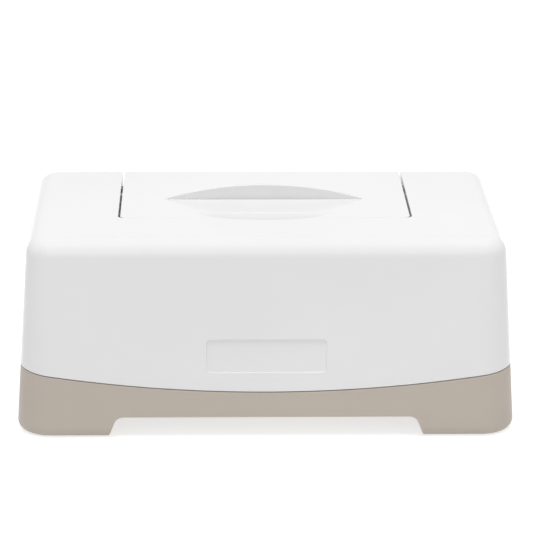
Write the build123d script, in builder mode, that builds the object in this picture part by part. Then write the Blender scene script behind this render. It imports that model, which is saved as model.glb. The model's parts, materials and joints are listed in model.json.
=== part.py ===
"""A baby wipes box: a footed tray, a lift-off cover with a hinged lid, and what seals and carries them.

Millimetres. +Z is up, the front faces -Y, and the origin is on the table under the middle of the box.
"""

from build123d import *
import math
import os

os.makedirs("parts", exist_ok=True)

# The outer form, which the tray, the cover and the lid share
table_width = 247.6  # left to right, where the leaning walls would meet the table
table_depth = 147.1  # front to back, at the same level
top_height = 99.7  # the flat top, above the table
corner_radius = 17.0  # upright corners, at table level
draft = 3.75  # degrees that every wall leans in
top_radius = 8.6
bottom_radius = 4.8

# Walls and clearances
cover_wall = 2.4
tray_wall = 2.2
floor_thickness = 2.2
rim_clearance = 0.8  # between the tray's rim and the inside of the cover
seam_gap = 0.4
seam_round = 0.4
soft_clearance = 0.3  # between a seal and what it closes on

# The seam between tray and cover, an arc that sags at the front and the back
seam_middle = 23.5
seam_radius = 715.0
flange_thickness = 2.0

# Feet and their pads
foot_gap_height = 11.0
foot_gap_half_width = 78.3
foot_gap_half_depth = 27.0
foot_slant = 22.0  # degrees off upright
foot_gap_corner = 4.8
foot_plate = 2.6
pad_proud = 0.4
pad_width = 30.0
pad_depth = 28.0
pad_corner = 6.0
pad_thickness = 2.0
pad_clearance = 0.15
stem_radius = 3.0
stem_length = 4.0

# The tray's rim and its seal
rim_top = 42.2
rim_wall = 2.2
seal_groove_bottom = 37.7
seal_height = 2.0
seal_seat_depth = 0.8

# Ribs inside the cover that stand on the tray's rim
rib_width = 2.0
rib_height = 9.0
rib_half_width = 62.0
rib_half_depth = 30.0

# The bare plate sunk in the front
plate_width = 59.0
plate_height = 16.6
plate_middle = 42.2
plate_depth = 1.0
plate_corner = 2.0
plate_round = 0.4

# The lid, its opening and the finger dish across its front edge
lid_width = 145.0
lid_front = -26.0
lid_corner = 3.0
lid_side_gap = 1.15
lid_front_gap = 0.08
lid_wall = 2.4
lid_skirt_depth = 9.5  # from the flat top down to the edge of the lid's walls
dish_half_length = 34.0
dish_back = -13.9  # the dish's straight back edge
dish_reach = 16.1  # from that edge to the curved front edge
dish_depth = 0.7
dish_rim_share = 0.95  # the rim's size as a share of the egg that the dish is the low end of
dish_wall_slope = 50.0  # degrees off level, of the dish's back wall

# The grip: half of a long low dome that blends into the lid, with a leaning face to pull by
grip_line = 7.4
grip_reach = 51.6
grip_depth = 13.0
grip_rise = 8.0
grip_blend = 4.0
grip_undercut = 12.0  # degrees

# The well under the lid, with depths from the flat top
well_wall = 2.0
deck_depth = 11.5
deck_thickness = 2.0
trough_depth = 19.0
back_wall_depth = 18.3

# The insert that the wipes are drawn through
insert_middle = 14.0
neck_length = 96.0
neck_width = 42.0
neck_wall = 2.0
neck_depth = 5.0
neck_clearance = 0.15
insert_flange = 8.0
insert_plate = 1.4
mouth_length = 70.0
mouth_width = 24.0

# The lid's inner panel and its seal
liner_depth = 9.3  # from the flat top down to the panel's underside
liner_thickness = 1.8
liner_gap = 0.3
liner_back = 51.0
lid_seal_width = 3.0
lid_seal_spacing = 3.0  # from the insert's edge to the seal
lid_seal_seat = 0.9
lid_seal_round = 0.9
post_radius = 3.0
stake_radius = 1.3
stake_clearance = 0.1
post_half_spacing = 46.0
post_front = -20.0
post_back = 47.5

# The hinge
axis_depth = 10.5  # from the flat top
axis_inside_back = 5.2
flap_below_axis = 5.7
flap_stop_clearance = 0.35  # to the well's edge, with the lid fully open
open_angle = 110.0
knuckle_radius = 5.0
knuckle_length = 6.0
pin_radius = 2.0
pin_running_clearance = 0.06
pin_head_radius = 2.6
pin_head_length = 1.5
boss_radius = 4.6
boss_length = 5.0

lean = math.tan(math.radians(draft))
slant = math.radians(foot_slant)
far = 2 * table_width  # longer than anything here, for cuts that run right through
past = 1.0  # how far a cut runs past the face that it opens


def level(height):
    """A horizontal plane at a height above the table."""
    return Plane.XY.offset(height)


def outline(height, inset):
    """Width, depth and corner radius of the leaning outer form at a height, moved in by inset."""
    shrink = inset + height * lean
    return table_width - 2 * shrink, table_depth - 2 * shrink, corner_radius - shrink


def half_depth(height):
    """Distance from the middle to the outer front or back face."""
    return outline(height, 0)[1] / 2


def leaning_block(bottom, top, inset):
    """The leaning outer form, moved in by inset, between two heights."""
    with BuildPart() as block:
        with BuildSketch(level(bottom)):
            RectangleRounded(*outline(bottom, inset))
        extrude(amount=top - bottom, taper=draft)
    return block.part


def leaning_ring(bottom, top, outer_inset, inner_inset):
    """A band of the leaning form between two insets."""
    with BuildPart() as ring:
        add(leaning_block(bottom, top, outer_inset))
        add(leaning_block(bottom, top, inner_inset), mode=Mode.SUBTRACT)
    return ring.part


def footed_block(bottom, inset, radius):
    """The leaning form from a height up to the rim's top, with its bottom edge rounded."""
    with BuildPart() as block:
        add(leaning_block(bottom, rim_top, inset))
        fillet(block.edges().group_by(Axis.Z)[0], radius)
    return block.part


def rounded_form(inset):
    """The whole outer form moved in by inset, with its top edge rounded."""
    with BuildPart() as form:
        add(leaning_block(0, top_height - inset, inset))
        fillet(form.edges().group_by(Axis.Z)[-1], top_radius - inset)
    return form.part


def below_seam(drop):
    """Everything under the seam, with the seam lowered by drop."""
    reach = table_width / 2 + past
    end_height = seam_middle + seam_radius - math.sqrt(seam_radius**2 - reach**2) - drop
    with BuildPart() as region:
        with BuildSketch(Plane.XZ):
            with BuildLine():
                ThreePointArc((-reach, end_height), (0, seam_middle - drop), (reach, end_height))
                Polyline((reach, end_height), (reach, -past), (-reach, -past), (-reach, end_height))
            make_face()
        extrude(amount=table_depth, both=True)
    return region.part


def gap_under(plane, half, grow):
    """The gap between two feet, seen along a plane, with its walls moved out by grow."""
    top = foot_gap_height + grow
    foot = half + grow / math.cos(slant)
    with BuildPart() as gap:
        with BuildSketch(plane) as section:
            Polygon(
                (-foot, 0),
                (foot, 0),
                (foot - top * math.tan(slant), top),
                (-foot + top * math.tan(slant), top),
                align=None,
            )
            fillet(section.vertices().group_by(Axis.Y)[-1], foot_gap_corner + grow)
        extrude(amount=far, both=True)
    return gap.part


def slot_plate(bottom, top, length, depth):
    """A round-ended plate over the insert's middle."""
    with BuildPart() as plate:
        with BuildSketch(level(bottom)):
            with Locations((0, insert_middle)):
                SlotOverall(length, depth)
        extrude(amount=top - bottom)
    return plate.part


def slot_ring(bottom, top, length, depth, width):
    """A round-ended band over the insert's middle."""
    with BuildPart() as ring:
        add(slot_plate(bottom, top, length, depth))
        add(slot_plate(bottom, top, length - 2 * width, depth - 2 * width), mode=Mode.SUBTRACT)
    return ring.part


def hinge_rod(start, end, radius):
    """A round bar on the hinge axis between two distances from the middle."""
    with BuildPart() as rod:
        with BuildSketch(Plane.YZ.offset(start)):
            with Locations((hinge_line, axis_height)):
                Circle(radius)
        extrude(amount=end - start)
    return rod.part


lid_skirt_bottom = top_height - lid_skirt_depth
deck_top = top_height - deck_depth
trough_floor = top_height - trough_depth
back_wall_top = top_height - back_wall_depth
liner_bottom = top_height - liner_depth
axis_height = top_height - axis_depth
hinge_line = half_depth(axis_height) - axis_inside_back
flap_bottom = axis_height - flap_below_axis
seal_margin = insert_flange + lid_seal_spacing + lid_seal_width
lid_seal_size = neck_length + 2 * seal_margin, neck_width + 2 * seal_margin, lid_seal_width
flap_reach = half_depth(flap_bottom) - hinge_line
flap_radius = math.hypot(flap_reach, flap_below_axis)
flap_turned = math.atan2(flap_below_axis, flap_reach) + math.radians(open_angle)
trough_front = hinge_line + flap_radius * math.cos(flap_turned) - flap_stop_clearance
opening_width = lid_width + 2 * lid_side_gap
opening_front = lid_front - lid_front_gap
under_lid_plate = top_height - lid_wall
rim_inset = cover_wall + rim_clearance
groove_top = seal_groove_bottom + seal_height
seal_seat = rim_inset + seal_seat_depth
outer_form = rounded_form(0)

# Tray: skirt with four hollow feet, floor, flange under the seam, and rim
with BuildPart() as foot_hollow:
    add(footed_block(pad_proud + foot_plate, tray_wall, bottom_radius - foot_plate))
    add(gap_under(Plane.XZ, foot_gap_half_width, floor_thickness), mode=Mode.SUBTRACT)
    add(gap_under(Plane.YZ, foot_gap_half_depth, floor_thickness), mode=Mode.SUBTRACT)
    add(below_seam(flange_thickness), mode=Mode.INTERSECT)

pad_x = (foot_gap_half_width + table_width / 2 - bottom_radius) / 2
pad_y = (foot_gap_half_depth + table_depth / 2 - bottom_radius) / 2

with BuildPart() as base_tray:
    add(footed_block(pad_proud, 0, bottom_radius))
    add(below_seam(0), mode=Mode.INTERSECT)
    add(leaning_block(seam_middle - flange_thickness, rim_top, rim_inset))
    add(foot_hollow.part, mode=Mode.SUBTRACT)
    inside_rim = leaning_block(seam_middle - flange_thickness, rim_top + past, rim_inset + rim_wall)
    add(inside_rim, mode=Mode.SUBTRACT)
    add(gap_under(Plane.XZ, foot_gap_half_width, 0), mode=Mode.SUBTRACT)
    add(gap_under(Plane.YZ, foot_gap_half_depth, 0), mode=Mode.SUBTRACT)
    # a seat and a hole for each pad and its stem
    with BuildSketch(level(0)):
        with GridLocations(2 * pad_x, 2 * pad_y, 2, 2):
            RectangleRounded(pad_width + 2 * pad_clearance, pad_depth + 2 * pad_clearance, pad_corner)
    extrude(amount=pad_thickness, mode=Mode.SUBTRACT)
    with BuildSketch(level(0)):
        with GridLocations(2 * pad_x, 2 * pad_y, 2, 2):
            Circle(stem_radius + pad_clearance)
    extrude(amount=pad_proud + foot_plate, mode=Mode.SUBTRACT)
    # a small round along the seam
    near_seam = 0, -half_depth(seam_middle) + 2 * seam_round, seam_middle
    seam_face = base_tray.faces().sort_by_distance(near_seam)[0]
    fillet(seam_face.outer_wire().edges(), seam_round)
    # the groove for the seal
    add(leaning_ring(seal_groove_bottom, groove_top, 0, seal_seat), mode=Mode.SUBTRACT)
base_tray.part.label = "base_tray"

# Four soft pads that stop the box from sliding, each held by a stem
foot_pads = []
for name, side, end in (
    ("front_left", -1, -1),
    ("front_right", 1, -1),
    ("rear_left", -1, 1),
    ("rear_right", 1, 1),
):
    with BuildPart() as foot_pad:
        with BuildSketch(level(0)):
            with Locations((side * pad_x, end * pad_y)):
                RectangleRounded(pad_width, pad_depth, pad_corner)
        extrude(amount=pad_thickness)
        chamfer(foot_pad.edges().group_by(Axis.Z)[0], pad_proud / 2)
        with BuildSketch(level(pad_thickness)):
            with Locations((side * pad_x, end * pad_y)):
                Circle(stem_radius)
        extrude(amount=stem_length)
    foot_pad.part.label = "foot_pad_" + name
    foot_pads.append(foot_pad)

# The seal round the tray's rim
with BuildPart() as tray_seal:
    add(leaning_ring(seal_groove_bottom, groove_top, cover_wall + soft_clearance, seal_seat))
tray_seal.part.label = "tray_seal"

# Cover: a shell with a well under the lid
well_half = opening_width / 2 + well_wall
boss_end = well_half + boss_length
with BuildPart() as well_block:
    for bottom, front in (
        (deck_top - deck_thickness, opening_front - well_wall),
        (trough_floor - deck_thickness, trough_front - well_wall),
    ):
        with BuildSketch(level(bottom)):
            with Locations((0, (front + table_depth) / 2)):
                Rectangle(2 * well_half, table_depth - front)
        extrude(amount=top_height)
    add(hinge_rod(-boss_end, boss_end, boss_radius))
    add(outer_form, mode=Mode.INTERSECT)

with BuildPart() as well_hollow:
    with BuildSketch(level(deck_top)):
        with Locations((0, opening_front + table_depth)):
            RectangleRounded(opening_width, 2 * table_depth, lid_corner + lid_front_gap)
    extrude(amount=top_height)
    trough_back = half_depth(trough_floor) - cover_wall
    for bottom, back in ((trough_floor, trough_back), (back_wall_top, table_depth)):
        with BuildSketch(level(bottom)):
            with Locations((0, (trough_front + back) / 2)):
                Rectangle(opening_width, back - trough_front)
        extrude(amount=top_height)

# The dish is cut by the low end of an egg, whose section at the top face is the dish's rim
egg_rise = math.sqrt(1 - dish_rim_share**2)
egg_half_height = dish_depth / (1 - egg_rise)
egg_half_sizes = dish_half_length / dish_rim_share, dish_reach / dish_rim_share, egg_half_height
egg = Pos(0, dish_back, top_height + egg_half_height * egg_rise) * scale(Sphere(1), by=egg_half_sizes)
wall_slope = math.radians(dish_wall_slope)
with BuildPart() as finger_dish:
    add(egg)
    behind_wall = Plane(
        origin=(0, dish_back, top_height),
        x_dir=(1, 0, 0),
        z_dir=(0, math.sin(wall_slope), -math.cos(wall_slope)),
    )
    with BuildSketch(behind_wall):
        Rectangle(far, far)
    extrude(amount=far, mode=Mode.SUBTRACT)

# Ribs that stand on the tray's rim, four pairs
with BuildPart() as ribs:
    with BuildSketch(level(rim_top)):
        with GridLocations(2 * rib_half_width, 0, 2, 1):
            Rectangle(rib_width, far)
        with GridLocations(0, 2 * rib_half_depth, 1, 2):
            Rectangle(far, rib_width)
    extrude(amount=rib_height)
    add(leaning_ring(rim_top, rim_top + rib_height, 0, rim_inset + rim_wall), mode=Mode.INTERSECT)

with BuildPart() as cover_shell:
    add(outer_form)
    add(rounded_form(cover_wall), mode=Mode.SUBTRACT)
    add(ribs.part)
    add(well_block.part)
    add(well_hollow.part, mode=Mode.SUBTRACT)
    add(finger_dish.part, mode=Mode.SUBTRACT)
    add(below_seam(-seam_gap), mode=Mode.SUBTRACT)
    fillet(cover_shell.faces().sort_by(Axis.Z)[0].outer_wire().edges(), seam_round)
    add(
        slot_plate(
            trough_floor,
            deck_top,
            neck_length + 2 * neck_clearance,
            neck_width + 2 * neck_clearance,
        ),
        mode=Mode.SUBTRACT,
    )
    add(hinge_rod(-boss_end - past, boss_end + past, pin_radius), mode=Mode.SUBTRACT)
    # the bare plate in the front, square to the leaning wall
    plate_plane = Plane(
        origin=(0, -half_depth(plate_middle), plate_middle),
        x_dir=(1, 0, 0),
        z_dir=(0, -math.cos(math.radians(draft)), math.sin(math.radians(draft))),
    )
    with BuildSketch(plate_plane):
        RectangleRounded(plate_width, plate_height, plate_corner)
    extrude(amount=-plate_depth, mode=Mode.SUBTRACT)
    recess_edges = cover_shell.edges(Select.LAST)
    rim_edges = [e for e in recess_edges if abs(plate_plane.to_local_coords(e.center()).Z) < plate_depth / 10]
    fillet(rim_edges, plate_round)
cover_shell.part.label = "cover_shell"

# The insert in the deck that the wipes are drawn through
with BuildPart() as dispensing_insert:
    plate_top = deck_top + insert_plate
    add(slot_plate(deck_top, plate_top, neck_length + 2 * insert_flange, neck_width + 2 * insert_flange))
    fillet(dispensing_insert.edges().group_by(Axis.Z)[-1], insert_plate / 2)
    add(slot_plate(deck_top - neck_depth, deck_top, neck_length, neck_width))
    inside_neck = neck_length - 2 * neck_wall, neck_width - 2 * neck_wall
    add(slot_plate(deck_top - neck_depth, deck_top, *inside_neck), mode=Mode.SUBTRACT)
    add(slot_plate(deck_top, plate_top, mouth_length, mouth_width), mode=Mode.SUBTRACT)
    fillet(dispensing_insert.edges().group_by(Axis.Z)[-1], insert_plate / 3)
dispensing_insert.part.label = "dispensing_insert"

# Two hinge pins, pressed into the cover's bosses from outside the well
knuckle_inside = lid_width / 2 - knuckle_length
hinge_pins = []
for name, side in (("left", -1), ("right", 1)):
    with BuildPart() as hinge_pin:
        add(hinge_rod(side * knuckle_inside, side * boss_end, pin_radius))
        add(hinge_rod(side * boss_end, side * (boss_end + pin_head_length), pin_head_radius))
    hinge_pin.part.label = "hinge_pin_" + name
    hinge_pins.append(hinge_pin)

# The grip and the hollow under it
undercut = math.radians(grip_undercut)
dome_radius = (grip_reach**2 / grip_rise + grip_rise) / 2 - grip_blend
grip_face = Plane(
    origin=(0, 0, top_height),
    x_dir=(1, 0, 0),
    z_dir=(0, -math.cos(undercut), -math.sin(undercut)),
)


def half_dome(inset):
    """The grip's dome moved in by inset, behind its leaning face."""
    base = top_height - inset
    crest = base + grip_rise
    radius = dome_radius - inset
    run = grip_reach / (dome_radius + grip_blend)
    meeting = radius * run, crest - radius * (1 - math.sqrt(1 - run**2))
    with BuildPart() as dome:
        with BuildSketch(Plane.XZ):
            with BuildLine():
                TangentArc((0, crest), meeting, tangent=(1, 0))
                TangentArc((grip_reach, base), meeting, tangent=(-1, 0))
                Polyline((grip_reach, base), (grip_reach, base - lid_wall), (0, base - lid_wall), (0, crest))
            make_face()
        revolve(axis=Axis.Z)
        scale(by=(1, (grip_depth - inset) / grip_reach, 1))
        with BuildSketch(grip_face.offset(-inset)):
            Rectangle(far, far)
        extrude(amount=-far, mode=Mode.INTERSECT)
    return Pos(0, grip_line, 0) * dome.part


# Lid: the piece of the outer form over the well, hollowed from below
posts = [(x, y) for x in (-post_half_spacing, post_half_spacing) for y in (post_front, post_back)]
with BuildPart() as lid_space:
    with BuildSketch(level(lid_skirt_bottom)):
        with Locations((0, lid_front + table_depth)):
            RectangleRounded(lid_width, 2 * table_depth, lid_corner)
    extrude(amount=top_height)
    flap_front = half_depth(axis_height) - lid_wall
    with BuildSketch(level(flap_bottom)):
        with Locations((0, (flap_front + table_depth) / 2)):
            Rectangle(lid_width, table_depth - flap_front)
    extrude(amount=top_height)

with BuildPart() as lid_hollow:
    with BuildSketch(level(0)):
        with Locations((0, lid_front + lid_wall + table_depth)):
            Rectangle(lid_width - 2 * lid_wall, 2 * table_depth)
    extrude(amount=top_height)
    add(rounded_form(lid_wall), mode=Mode.INTERSECT)

with BuildPart() as lid_shell:
    add(outer_form)
    add(lid_space.part, mode=Mode.INTERSECT)
    add(lid_hollow.part, mode=Mode.SUBTRACT)
    add(half_dome(0))
    add(half_dome(lid_wall), mode=Mode.SUBTRACT)
    add(finger_dish.part, mode=Mode.SUBTRACT)
    # posts that carry the inner panel, each with a stake that holds it
    with BuildSketch(level(liner_bottom + liner_thickness)):
        with Locations(*posts):
            Circle(post_radius)
    extrude(amount=under_lid_plate - liner_bottom - liner_thickness)
    with BuildSketch(level(liner_bottom)):
        with Locations(*posts):
            Circle(stake_radius)
    extrude(amount=liner_thickness)
    # the hinge knuckles
    for side in (-1, 1):
        add(hinge_rod(side * knuckle_inside, side * lid_width / 2, knuckle_radius))
        bore_start, bore_end = side * (knuckle_inside - past), side * (lid_width / 2 + past)
        add(hinge_rod(bore_start, bore_end, pin_radius + pin_running_clearance), mode=Mode.SUBTRACT)
lid_shell.part.label = "lid_shell"

# The inner panel of the lid, with a seat for its seal
with BuildPart() as lid_liner:
    liner_width = lid_width - 2 * (lid_wall + liner_gap)
    liner_front = lid_front + lid_wall + liner_gap
    with BuildSketch(level(liner_bottom)):
        with Locations((0, (liner_front + liner_back) / 2)):
            RectangleRounded(liner_width, liner_back - liner_front, lid_corner)
        with Locations(*posts):
            Circle(stake_radius + stake_clearance, mode=Mode.SUBTRACT)
    extrude(amount=liner_thickness)
    seat_top = liner_bottom + lid_seal_seat
    seal_seat_ring = slot_ring(liner_bottom, seat_top, *lid_seal_size)
    add(seal_seat_ring, mode=Mode.SUBTRACT)
lid_liner.part.label = "lid_liner"

# The soft ring that closes on the deck round the insert
with BuildPart() as lid_seal:
    add(slot_ring(deck_top + soft_clearance, seat_top, *lid_seal_size))
    fillet(lid_seal.edges().group_by(Axis.Z)[0], lid_seal_round)
lid_seal.part.label = "lid_seal"

pieces = [base_tray, *foot_pads, tray_seal, cover_shell, dispensing_insert, *hinge_pins]
pieces += [lid_shell, lid_liner, lid_seal]
for piece in pieces:
    export_step(piece.part, f"parts/{piece.part.label}.step")
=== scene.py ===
"""Dresses and lights the baby wipes box as the photograph shows it."""

import json
import math

import bpy
from mathutils import Matrix, Vector

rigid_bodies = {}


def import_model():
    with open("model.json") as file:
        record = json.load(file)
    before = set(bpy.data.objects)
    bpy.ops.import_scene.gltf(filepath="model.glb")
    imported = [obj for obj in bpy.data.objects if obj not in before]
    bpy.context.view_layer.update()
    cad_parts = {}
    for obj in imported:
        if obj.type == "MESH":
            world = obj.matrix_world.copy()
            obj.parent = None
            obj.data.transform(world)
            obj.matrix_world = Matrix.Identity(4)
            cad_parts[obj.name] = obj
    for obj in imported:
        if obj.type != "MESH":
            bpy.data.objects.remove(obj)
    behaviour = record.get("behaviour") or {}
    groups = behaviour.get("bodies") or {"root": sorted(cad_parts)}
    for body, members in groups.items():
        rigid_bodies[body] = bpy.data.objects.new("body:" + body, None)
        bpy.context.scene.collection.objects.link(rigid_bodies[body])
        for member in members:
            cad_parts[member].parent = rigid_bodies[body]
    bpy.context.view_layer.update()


MM = 0.001

# Camera, in millimetres and degrees
CAMERA_PLACE = (-30.7, -1325.5, 485.5)
CAMERA_PITCH = 17.562
CAMERA_YAW = 1.386
CAMERA_ROLL = 0.286
LENS = 183.17
SENSOR = 36.0
CAMERA_REACH = 20.0  # in metres

# Floor, in metres
FLOOR_SIZE = 6.0
FLOOR_COLOUR = (0.72, 0.72, 0.72)
FLOOR_ROUGHNESS = 0.9
FLOOR_GLOW = 0.65  # as the camera and gloss see it
TABLE_LIGHT = 0.12  # as it lights the object

# Lamps: name, place and aim in metres, size in metres, power in watts, and whether gloss mirrors it
LAMPS = (
    ("top_softbox", (0.0, -0.4, 2.05), (0.0, 0.0, 0.05), 1.4, 24.6, False),
    ("front_softbox", (0.0, -1.9, 0.95), (0.0, 0.0, 0.05), 1.2, 2.3, True),
)

# The white room
ROOM_LIGHT = 0.45  # as it lights the object
ROOM_WHITE = 1.0  # as the camera and gloss see it

# Colours, linear
PLAIN_WHITE = (1.0, 1.0, 1.0)
WHITE = (0.9, 0.9, 0.9)
TAUPE = (0.555, 0.493, 0.431)
INNER_WHITE = (0.74, 0.74, 0.73)
SEAL_GREY = (0.5, 0.49, 0.47)
PAD_GREY = (0.12, 0.105, 0.09)
STEEL = (0.56, 0.56, 0.57)

# Moulded plastics: colour, roughness, grain in features per metre, its depth in metres, and flow tone
PLASTICS = {
    "gloss_white": (WHITE, 0.16, 900.0, 0.000004, 0.02),
    "satin_taupe": (TAUPE, 0.45, 1500.0, 0.00001, 0.015),
    "inner_white": (INNER_WHITE, 0.4, 1300.0, 0.00001, 0.02),
    "liner_white": (INNER_WHITE, 0.42, 1300.0, 0.00001, 0.02),
}
PLASTIC_IOR = 1.49
FLOW_SCALE = 9.0  # features per metre
GLOSS_SCALE = 55.0
GLOSS_SPREAD = 0.12  # as a share of the roughness
WAVE_SCALE = 22.0
WAVE_DEPTH = 0.00004  # in metres

# Seals and pads: colour and roughness
RUBBERS = {
    "tray_seal_soft": (SEAL_GREY, 0.55),
    "lid_seal_soft": (SEAL_GREY, 0.55),
    "pad_soft": (PAD_GREY, 0.75),
}
RUBBER_IOR = 1.42
BLOOM_SCALE = 60.0  # features per metre
BLOOM_SHADES = (0.92, 1.1)
RUB_SCALE = 240.0
RUB_SPREAD = 0.06
RUBBER_GRAIN_SCALE = 1800.0
RUBBER_GRAIN_DEPTH = 0.00003  # in metres

# Drawn steel of the hinge pins, which lie along X
STREAK_SCALE = (40.0, 2600.0, 2600.0)  # features per metre along each axis
STREAK_SHADES = (0.85, 1.1)
STREAK_ROUGHNESS = (0.22, 0.36)
STREAK_DEPTH = 0.00001  # in metres

# How each CAD piece is dressed, by the start of its name
DRESS = (
    ("cover_shell", "gloss_white"),
    ("lid_shell", "gloss_white"),
    ("base_tray", "satin_taupe"),
    ("dispensing_insert", "inner_white"),
    ("lid_liner", "liner_white"),
    ("tray_seal", "tray_seal_soft"),
    ("lid_seal", "lid_seal_soft"),
    ("foot_pad", "pad_soft"),
    ("hinge_pin", "pin_steel"),
)

# Noise: the part of its range that its values mostly keep to, and its octaves
NOISE_LOW = 0.3
NOISE_HIGH = 0.7
TONE_DETAIL = 3.0
BUMP_DETAIL = 2.0


def scaled(colour, factor):
    """A colour made lighter or darker by a factor."""
    return tuple(c * factor for c in colour)


def mapped(nodes, links, value, low, high, start=0.0, end=1.0):
    """A value mapped from start..end to low..high."""
    node = nodes.new("ShaderNodeMapRange")
    node.inputs["From Min"].default_value = start
    node.inputs["From Max"].default_value = end
    node.inputs["To Min"].default_value = low
    node.inputs["To Max"].default_value = high
    links.new(value, node.inputs["Value"])
    return node.outputs["Result"]


def seen_share(nodes, links):
    """One for what the camera sees straight, in gloss or through glass, and zero for other rays."""
    path = nodes.new("ShaderNodeLightPath")
    total = path.outputs["Is Camera Ray"]
    for name in ("Is Glossy Ray", "Is Transmission Ray"):
        either = nodes.new("ShaderNodeMath")
        either.operation = "MAXIMUM"
        links.new(total, either.inputs[0])
        links.new(path.outputs[name], either.inputs[1])
        total = either.outputs["Value"]
    return total


class Board:
    """A material's node tree, with short ways to add nodes and links."""

    def __init__(self, name):
        self.material = bpy.data.materials.new(name)
        self.material.use_nodes = True
        self.nodes = self.material.node_tree.nodes
        self.links = self.material.node_tree.links
        self.nodes.clear()
        self.shader = self.nodes.new("ShaderNodeBsdfPrincipled")
        output = self.nodes.new("ShaderNodeOutputMaterial")
        self.links.new(self.shader.outputs["BSDF"], output.inputs["Surface"])
        self.place = self.nodes.new("ShaderNodeTexCoord").outputs["Object"]

    def set(self, socket, value):
        """A fixed value on one of the shader's sockets."""
        self.shader.inputs[socket].default_value = value

    def feed(self, socket, value):
        """A link into one of the shader's sockets."""
        self.links.new(value, self.shader.inputs[socket])

    def noise(self, scale, detail=TONE_DETAIL):
        """A noise value around one half, with scale in features per metre."""
        node = self.nodes.new("ShaderNodeTexNoise")
        node.inputs["Scale"].default_value = scale
        node.inputs["Detail"].default_value = detail
        self.links.new(self.place, node.inputs["Vector"])
        return node.outputs["Fac"]

    def spread(self, noise, low, high):
        """A noise value mapped to low..high."""
        return mapped(self.nodes, self.links, noise, low, high, NOISE_LOW, NOISE_HIGH)

    def mix(self, noise, first, second):
        """A colour between two colours, by a noise value."""
        node = self.nodes.new("ShaderNodeMix")
        node.data_type = "RGBA"
        self.links.new(self.spread(noise, 0.0, 1.0), node.inputs["Factor"])
        for socket, colour in (("A", first), ("B", second)):
            target = next(i for i in node.inputs if i.name == socket and i.type == "RGBA")
            target.default_value = (*colour, 1)
        return next(o for o in node.outputs if o.type == "RGBA")

    def bump(self, *layers):
        """Bump from several layers, each a height and its depth in metres."""
        normal = None
        for height, depth in layers:
            node = self.nodes.new("ShaderNodeBump")
            node.inputs["Distance"].default_value = depth
            self.links.new(height, node.inputs["Height"])
            if normal is not None:
                self.links.new(normal, node.inputs["Normal"])
            normal = node.outputs["Normal"]
        self.feed("Normal", normal)


def moulded_plastic(name, colour, roughness, grain_scale, grain_depth, tone):
    """Moulded plastic: faint flow tone, fine grain and slightly uneven gloss."""
    board = Board(name)
    low = roughness * (1 - GLOSS_SPREAD)
    high = roughness * (1 + GLOSS_SPREAD)
    darker = scaled(colour, 1 - tone)
    lighter = scaled(colour, 1 + tone)
    board.feed("Base Color", board.mix(board.noise(FLOW_SCALE), darker, lighter))
    board.feed("Roughness", board.spread(board.noise(GLOSS_SCALE), low, high))
    board.set("IOR", PLASTIC_IOR)
    waves = board.noise(WAVE_SCALE, BUMP_DETAIL)
    grain = board.noise(grain_scale, BUMP_DETAIL)
    board.bump((waves, WAVE_DEPTH), (grain, grain_depth))
    return board.material


def soft_rubber(name, colour, roughness):
    """Soft seal or pad material: matte, with a fine grain and faint bloom."""
    board = Board(name)
    darker, lighter = (scaled(colour, shade) for shade in BLOOM_SHADES)
    rubbed = board.noise(RUB_SCALE)
    board.feed("Base Color", board.mix(board.noise(BLOOM_SCALE), darker, lighter))
    board.feed("Roughness", board.spread(rubbed, roughness - RUB_SPREAD, roughness + RUB_SPREAD))
    board.set("IOR", RUBBER_IOR)
    board.bump((board.noise(RUBBER_GRAIN_SCALE, BUMP_DETAIL), RUBBER_GRAIN_DEPTH))
    return board.material


def drawn_steel(name):
    """Drawn pin wire: fine lengthwise streaks on the metal."""
    board = Board(name)
    board.set("Metallic", 1.0)
    stretch = board.nodes.new("ShaderNodeMapping")
    stretch.inputs["Scale"].default_value = STREAK_SCALE
    board.links.new(board.place, stretch.inputs["Vector"])
    texture = board.nodes.new("ShaderNodeTexNoise")
    texture.inputs["Scale"].default_value = 1.0
    board.links.new(stretch.outputs["Vector"], texture.inputs["Vector"])
    streaks = texture.outputs["Fac"]
    darker, lighter = (scaled(STEEL, shade) for shade in STREAK_SHADES)
    board.feed("Base Color", board.mix(streaks, darker, lighter))
    board.feed("Roughness", board.spread(streaks, *STREAK_ROUGHNESS))
    board.bump((streaks, STREAK_DEPTH))
    return board.material


def dress():
    """Makes the materials and gives each CAD piece its own."""
    materials = {name: moulded_plastic(name, *look) for name, look in PLASTICS.items()}
    materials.update({name: soft_rubber(name, *look) for name, look in RUBBERS.items()})
    materials["pin_steel"] = drawn_steel("pin_steel")
    for start, name in DRESS:
        for piece in bpy.data.objects:
            if piece.type != "MESH" or not piece.name.startswith(start):
                continue
            if not piece.material_slots:
                piece.data.materials.append(materials[name])
            for slot in piece.material_slots:
                slot.material = materials[name]


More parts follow.
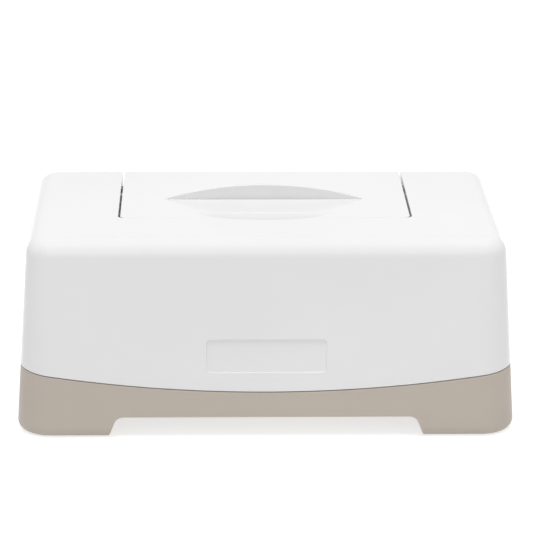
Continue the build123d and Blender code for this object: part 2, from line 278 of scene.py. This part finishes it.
def set_camera():
    """The photograph's camera."""
    data = bpy.data.cameras.new("camera")
    data.lens = LENS
    data.sensor_width = SENSOR
    data.clip_end = CAMERA_REACH
    camera = bpy.data.objects.new("camera", data)
    place = Matrix.Translation([c * MM for c in CAMERA_PLACE])
    turn = Matrix.Rotation(-math.radians(CAMERA_YAW), 4, "Z")
    tilt = Matrix.Rotation(math.radians(90 - CAMERA_PITCH), 4, "X")
    roll = Matrix.Rotation(math.radians(CAMERA_ROLL), 4, "Z")
    camera.matrix_world = place @ turn @ tilt @ roll
    bpy.context.scene.collection.objects.link(camera)
    bpy.context.scene.camera = camera


def set_lamps():
    """Soft square lamps, each turned to what it lights."""
    for name, place, aim, size, power, mirrored in LAMPS:
        data = bpy.data.lights.new(name, "AREA")
        data.shape = "SQUARE"
        data.size = size
        data.energy = power
        lamp = bpy.data.objects.new(name, data)
        lamp.location = place
        lamp.rotation_euler = (Vector(aim) - Vector(place)).to_track_quat("-Z", "Y").to_euler()
        lamp.visible_glossy = mirrored
        bpy.context.scene.collection.objects.link(lamp)


def set_world():
    """A white room that lights the object evenly and shows as plain white."""
    world = bpy.data.worlds.new("studio")
    bpy.context.scene.world = world
    world.use_nodes = True
    nodes = world.node_tree.nodes
    links = world.node_tree.links
    background = nodes["Background"]
    background.inputs["Color"].default_value = (*PLAIN_WHITE, 1)
    strength = mapped(nodes, links, seen_share(nodes, links), ROOM_LIGHT, ROOM_WHITE)
    links.new(strength, background.inputs["Strength"])


def set_floor():
    """A pale paper floor that shows as white away from the object's shadow."""
    half = FLOOR_SIZE / 2
    corners = [(-half, -half, 0), (half, -half, 0), (half, half, 0), (-half, half, 0)]
    mesh = bpy.data.meshes.new("floor")
    mesh.from_pydata(corners, [], [(0, 1, 2, 3)])
    floor = bpy.data.objects.new("floor", mesh)
    bpy.context.scene.collection.objects.link(floor)
    board = Board("floor_paper")
    board.set("Base Color", (*FLOOR_COLOUR, 1))
    board.set("Roughness", FLOOR_ROUGHNESS)
    board.set("Emission Color", (*PLAIN_WHITE, 1))
    seen = seen_share(board.nodes, board.links)
    board.feed("Emission Strength", mapped(board.nodes, board.links, seen, TABLE_LIGHT, FLOOR_GLOW))
    mesh.materials.append(board.material)


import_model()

set_camera()
set_world()
set_lamps()
set_floor()
dress()

bpy.context.scene.view_settings.view_transform = "Standard"
